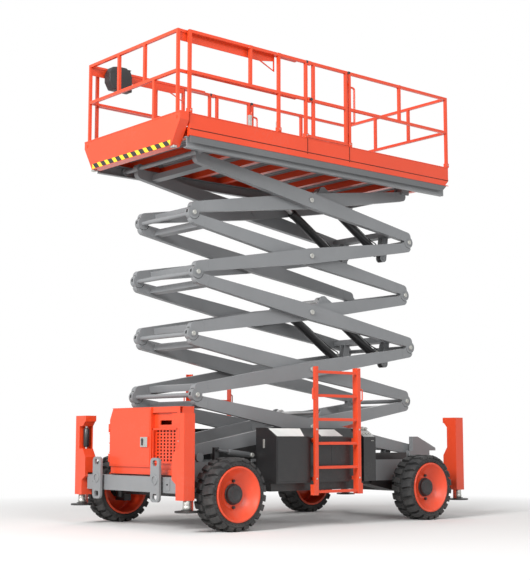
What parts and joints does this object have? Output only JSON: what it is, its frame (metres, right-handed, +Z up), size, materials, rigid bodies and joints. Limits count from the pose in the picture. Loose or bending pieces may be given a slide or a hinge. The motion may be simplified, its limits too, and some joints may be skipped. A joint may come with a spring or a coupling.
{
  "type": "scissor lift",
  "caption": "Rough-terrain scissor lift: a railed work platform on a folding arm stack over a wheeled chassis with outriggers.",
  "frame": {"origin": "on the ground under the middle of the machine's bounding box", "axes": "+X to the front with the housing door, +Y to the left side, +Z up"},
  "size_m": [4.35, 2.34, 5.2269],
  "materials": {
    "lift_grey": "satin",
    "machine_orange": "satin",
    "cabinet_black": "satin",
    "bare_steel": "satin",
    "tyre_rubber": "matte"
  },
  "bodies": {
    "chassis": {"chassis_frame": "lift_grey", "front_bumper": "lift_grey", "rear_bumper": "lift_grey", "tie_plates": "lift_grey", "front_axle": "cabinet_black", "rear_axle": "cabinet_black", "housing_shell": "machine_orange", "vent_grille": "machine_orange", "power_pack": "cabinet_black", "left_cabinet": "cabinet_black", "right_cabinet": "cabinet_black", "control_box": "cabinet_black", "left_ladder": "machine_orange", "right_ladder": "machine_orange", "front_outriggers": "machine_orange", "rear_outriggers": "machine_orange", "outrigger_jacks": "cabinet_black"},
    "housing_door": {"housing_door": "machine_orange"},
    "outer_arms_1": {"outer_arms_1": "lift_grey"},
    "inner_arms_1": {"inner_arms_1": "lift_grey"},
    "outer_arms_2": {"outer_arms_2": "lift_grey"},
    "inner_arms_2": {"inner_arms_2": "lift_grey"},
    "outer_arms_3": {"outer_arms_3": "lift_grey"},
    "inner_arms_3": {"inner_arms_3": "lift_grey"},
    "outer_arms_4": {"outer_arms_4": "lift_grey"},
    "inner_arms_4": {"inner_arms_4": "lift_grey"},
    "outer_arms_5": {"outer_arms_5": "lift_grey"},
    "inner_arms_5": {"inner_arms_5": "lift_grey"},
    "platform": {"platform_deck": "machine_orange", "deck_tracks": "lift_grey", "left_guardrail": "machine_orange", "right_guardrail": "machine_orange", "rear_guardrail": "machine_orange"},
    "lower_barrels": {"lower_barrels": "cabinet_black"},
    "lower_rods": {"lower_rods": "bare_steel"},
    "middle_barrels": {"middle_barrels": "cabinet_black"},
    "middle_rods": {"middle_rods": "bare_steel"},
    "upper_barrels": {"upper_barrels": "cabinet_black"},
    "upper_rods": {"upper_rods": "bare_steel"},
    "extension": {"extension_deck": "machine_orange", "extension_front_rail": "machine_orange", "extension_rails": "machine_orange", "control_console": "cabinet_black"},
    "left_gate": {"left_gate": "machine_orange"},
    "right_gate": {"right_gate": "machine_orange"},
    "left_steer": {"left_knuckle": "cabinet_black"},
    "front_left_wheel": {"front_left_tyre": "tyre_rubber", "front_left_rim": "machine_orange"},
    "rear_left_wheel": {"rear_left_tyre": "tyre_rubber", "rear_left_rim": "machine_orange"},
    "right_steer": {"right_knuckle": "cabinet_black"},
    "front_right_wheel": {"front_right_tyre": "tyre_rubber", "front_right_rim": "machine_orange"},
    "rear_right_wheel": {"rear_right_tyre": "tyre_rubber", "rear_right_rim": "machine_orange"},
    "front_left_leg": {"front_left_leg": "bare_steel"},
    "front_right_leg": {"front_right_leg": "bare_steel"},
    "rear_left_leg": {"rear_left_leg": "bare_steel"},
    "rear_right_leg": {"rear_right_leg": "bare_steel"}
  },
  "joints": [
    {"name": "stack_raise", "type": "hinge", "parent": "chassis", "child": "outer_arms_1", "pos_m": [-1.664, 0, 0.745], "axis": [0, -1, 0], "range_deg": [-6.65, 53.25]},
    {"name": "centre_pin_1", "type": "hinge", "parent": "outer_arms_1", "child": "inner_arms_1", "pos_m": [-0.01432, 0, 1.07314], "axis": [0, -1, 0], "range_deg": [-106.5, 13.3]},
    {"name": "outer_pin_2", "type": "hinge", "parent": "outer_arms_1", "child": "outer_arms_2", "pos_m": [1.63536, 0, 1.40128], "axis": [0, -1, 0], "range_deg": [-106.5, 13.3]},
    {"name": "centre_pin_2", "type": "hinge", "parent": "outer_arms_2", "child": "inner_arms_2", "pos_m": [-0.01432, 0, 1.72943], "axis": [0, -1, 0], "range_deg": [-13.3, 106.5]},
    {"name": "outer_pin_3", "type": "hinge", "parent": "outer_arms_2", "child": "outer_arms_3", "pos_m": [-1.664, 0, 2.05757], "axis": [0, -1, 0], "range_deg": [-13.3, 106.5]},
    {"name": "centre_pin_3", "type": "hinge", "parent": "outer_arms_3", "child": "inner_arms_3", "pos_m": [-0.01432, 0, 2.38571], "axis": [0, -1, 0], "range_deg": [-106.5, 13.3]},
    {"name": "outer_pin_4", "type": "hinge", "parent": "outer_arms_3", "child": "outer_arms_4", "pos_m": [1.63536, 0, 2.71385], "axis": [0, -1, 0], "range_deg": [-106.5, 13.3]},
    {"name": "centre_pin_4", "type": "hinge", "parent": "outer_arms_4", "child": "inner_arms_4", "pos_m": [-0.01432, 0, 3.04199], "axis": [0, -1, 0], "range_deg": [-13.3, 106.5]},
    {"name": "outer_pin_5", "type": "hinge", "parent": "outer_arms_4", "child": "outer_arms_5", "pos_m": [-1.664, 0, 3.37014], "axis": [0, -1, 0], "range_deg": [-13.3, 106.5]},
    {"name": "centre_pin_5", "type": "hinge", "parent": "outer_arms_5", "child": "inner_arms_5", "pos_m": [-0.01432, 0, 3.69828], "axis": [0, -1, 0], "range_deg": [-106.5, 13.3]},
    {"name": "platform_pin", "type": "hinge", "parent": "inner_arms_5", "child": "platform", "pos_m": [-1.664, 0, 4.02642], "axis": [0, -1, 0], "range_deg": [-6.65, 53.25]},
    {"name": "lower_cylinder_foot", "type": "hinge", "parent": "outer_arms_1", "child": "lower_barrels", "pos_m": [-1.41409, 0, 0.54514], "axis": [0, -1, 0], "range_deg": [-4.53, 0.56]},
    {"name": "lower_cylinder_stroke", "type": "slide", "parent": "lower_barrels", "child": "lower_rods", "axis": [0.8373, 0, 0.5468], "range_m": [-0.0731, 0.5855]},
    {"name": "middle_cylinder_foot", "type": "hinge", "parent": "outer_arms_3", "child": "middle_barrels", "pos_m": [-1.41409, 0, 1.85771], "axis": [0, -1, 0], "range_deg": [-4.53, 0.56]},
    {"name": "middle_cylinder_stroke", "type": "slide", "parent": "middle_barrels", "child": "middle_rods", "axis": [0.8373, 0, 0.5468], "range_m": [-0.0731, 0.5855]},
    {"name": "upper_cylinder_foot", "type": "hinge", "parent": "outer_arms_5", "child": "upper_barrels", "pos_m": [-1.41409, 0, 3.17028], "axis": [0, -1, 0], "range_deg": [-4.53, 0.56]},
    {"name": "upper_cylinder_stroke", "type": "slide", "parent": "upper_barrels", "child": "upper_rods", "axis": [0.8373, 0, 0.5468], "range_m": [-0.0731, 0.5855]},
    {"name": "extension_slide", "type": "slide", "parent": "platform", "child": "extension", "axis": [1, 0, 0], "range_m": [0, 1.52]},
    {"name": "left_gate_hinge", "type": "hinge", "parent": "platform", "child": "left_gate", "pos_m": [-0.3195, 0.869, 4.7754], "axis": [0, 0, -1], "range_deg": [0, 90]},
    {"name": "right_gate_hinge", "type": "hinge", "parent": "platform", "child": "right_gate", "pos_m": [-0.3195, -0.869, 4.7754], "axis": [0, 0, 1], "range_deg": [0, 90]},
    {"name": "housing_door_hinge", "type": "hinge", "parent": "chassis", "child": "housing_door", "pos_m": [2.01896, -0.498, 0.95], "axis": [0, 0, -1], "range_deg": [0, 70]},
    {"name": "left_steer_kingpin", "type": "hinge", "parent": "chassis", "child": "left_steer", "pos_m": [1.53196, 0.98, 0.376], "axis": [0, 0, 1], "range_deg": [-28, 28]},
    {"name": "front_left_wheel_spin", "type": "hinge", "parent": "left_steer", "child": "front_left_wheel", "pos_m": [1.53196, 1.02, 0.376], "axis": [0, 1, 0], "continuous": true},
    {"name": "rear_left_wheel_spin", "type": "hinge", "parent": "chassis", "child": "rear_left_wheel", "pos_m": [-1.362, 1.02, 0.376], "axis": [0, 1, 0], "continuous": true},
    {"name": "right_steer_kingpin", "type": "hinge", "parent": "chassis", "child": "right_steer", "pos_m": [1.53196, -0.98, 0.376], "axis": [0, 0, 1], "range_deg": [-28, 28]},
    {"name": "front_right_wheel_spin", "type": "hinge", "parent": "right_steer", "child": "front_right_wheel", "pos_m": [1.53196, -1.02, 0.376], "axis": [0, 1, 0], "continuous": true},
    {"name": "rear_right_wheel_spin", "type": "hinge", "parent": "chassis", "child": "rear_right_wheel", "pos_m": [-1.362, -1.02, 0.376], "axis": [0, 1, 0], "continuous": true},
    {"name": "front_left_leg_slide", "type": "slide", "parent": "chassis", "child": "front_left_leg", "axis": [0, 0, -1], "range_m": [0, 0.45]},
    {"name": "front_right_leg_slide", "type": "slide", "parent": "chassis", "child": "front_right_leg", "axis": [0, 0, -1], "range_m": [0, 0.45]},
    {"name": "rear_left_leg_slide", "type": "slide", "parent": "chassis", "child": "rear_left_leg", "axis": [0, 0, -1], "range_m": [0, 0.45]},
    {"name": "rear_right_leg_slide", "type": "slide", "parent": "chassis", "child": "rear_right_leg", "axis": [0, 0, -1], "range_m": [0, 0.45]}
  ],
  "couplings": [
    {"joint": "centre_pin_1", "follows": "stack_raise", "ratio": -2},
    {"joint": "outer_pin_2", "follows": "stack_raise", "ratio": -2},
    {"joint": "centre_pin_2", "follows": "stack_raise", "ratio": 2},
    {"joint": "outer_pin_3", "follows": "stack_raise", "ratio": 2},
    {"joint": "centre_pin_3", "follows": "stack_raise", "ratio": -2},
    {"joint": "outer_pin_4", "follows": "stack_raise", "ratio": -2},
    {"joint": "centre_pin_4", "follows": "stack_raise", "ratio": 2},
    {"joint": "outer_pin_5", "follows": "stack_raise", "ratio": 2},
    {"joint": "centre_pin_5", "follows": "stack_raise", "ratio": -2},
    {"joint": "platform_pin", "follows": "stack_raise", "ratio": 1},
    {"joint": "lower_cylinder_foot", "follows": "stack_raise", "ratio": -0.085},
    {"joint": "lower_cylinder_stroke", "follows": "stack_raise", "m_per_rad": 0.63},
    {"joint": "middle_cylinder_foot", "follows": "stack_raise", "ratio": -0.085},
    {"joint": "middle_cylinder_stroke", "follows": "stack_raise", "m_per_rad": 0.63},
    {"joint": "upper_cylinder_foot", "follows": "stack_raise", "ratio": -0.085},
    {"joint": "upper_cylinder_stroke", "follows": "stack_raise", "m_per_rad": 0.63},
    {"joint": "right_steer_kingpin", "follows": "left_steer_kingpin", "ratio": 1}
  ]
}
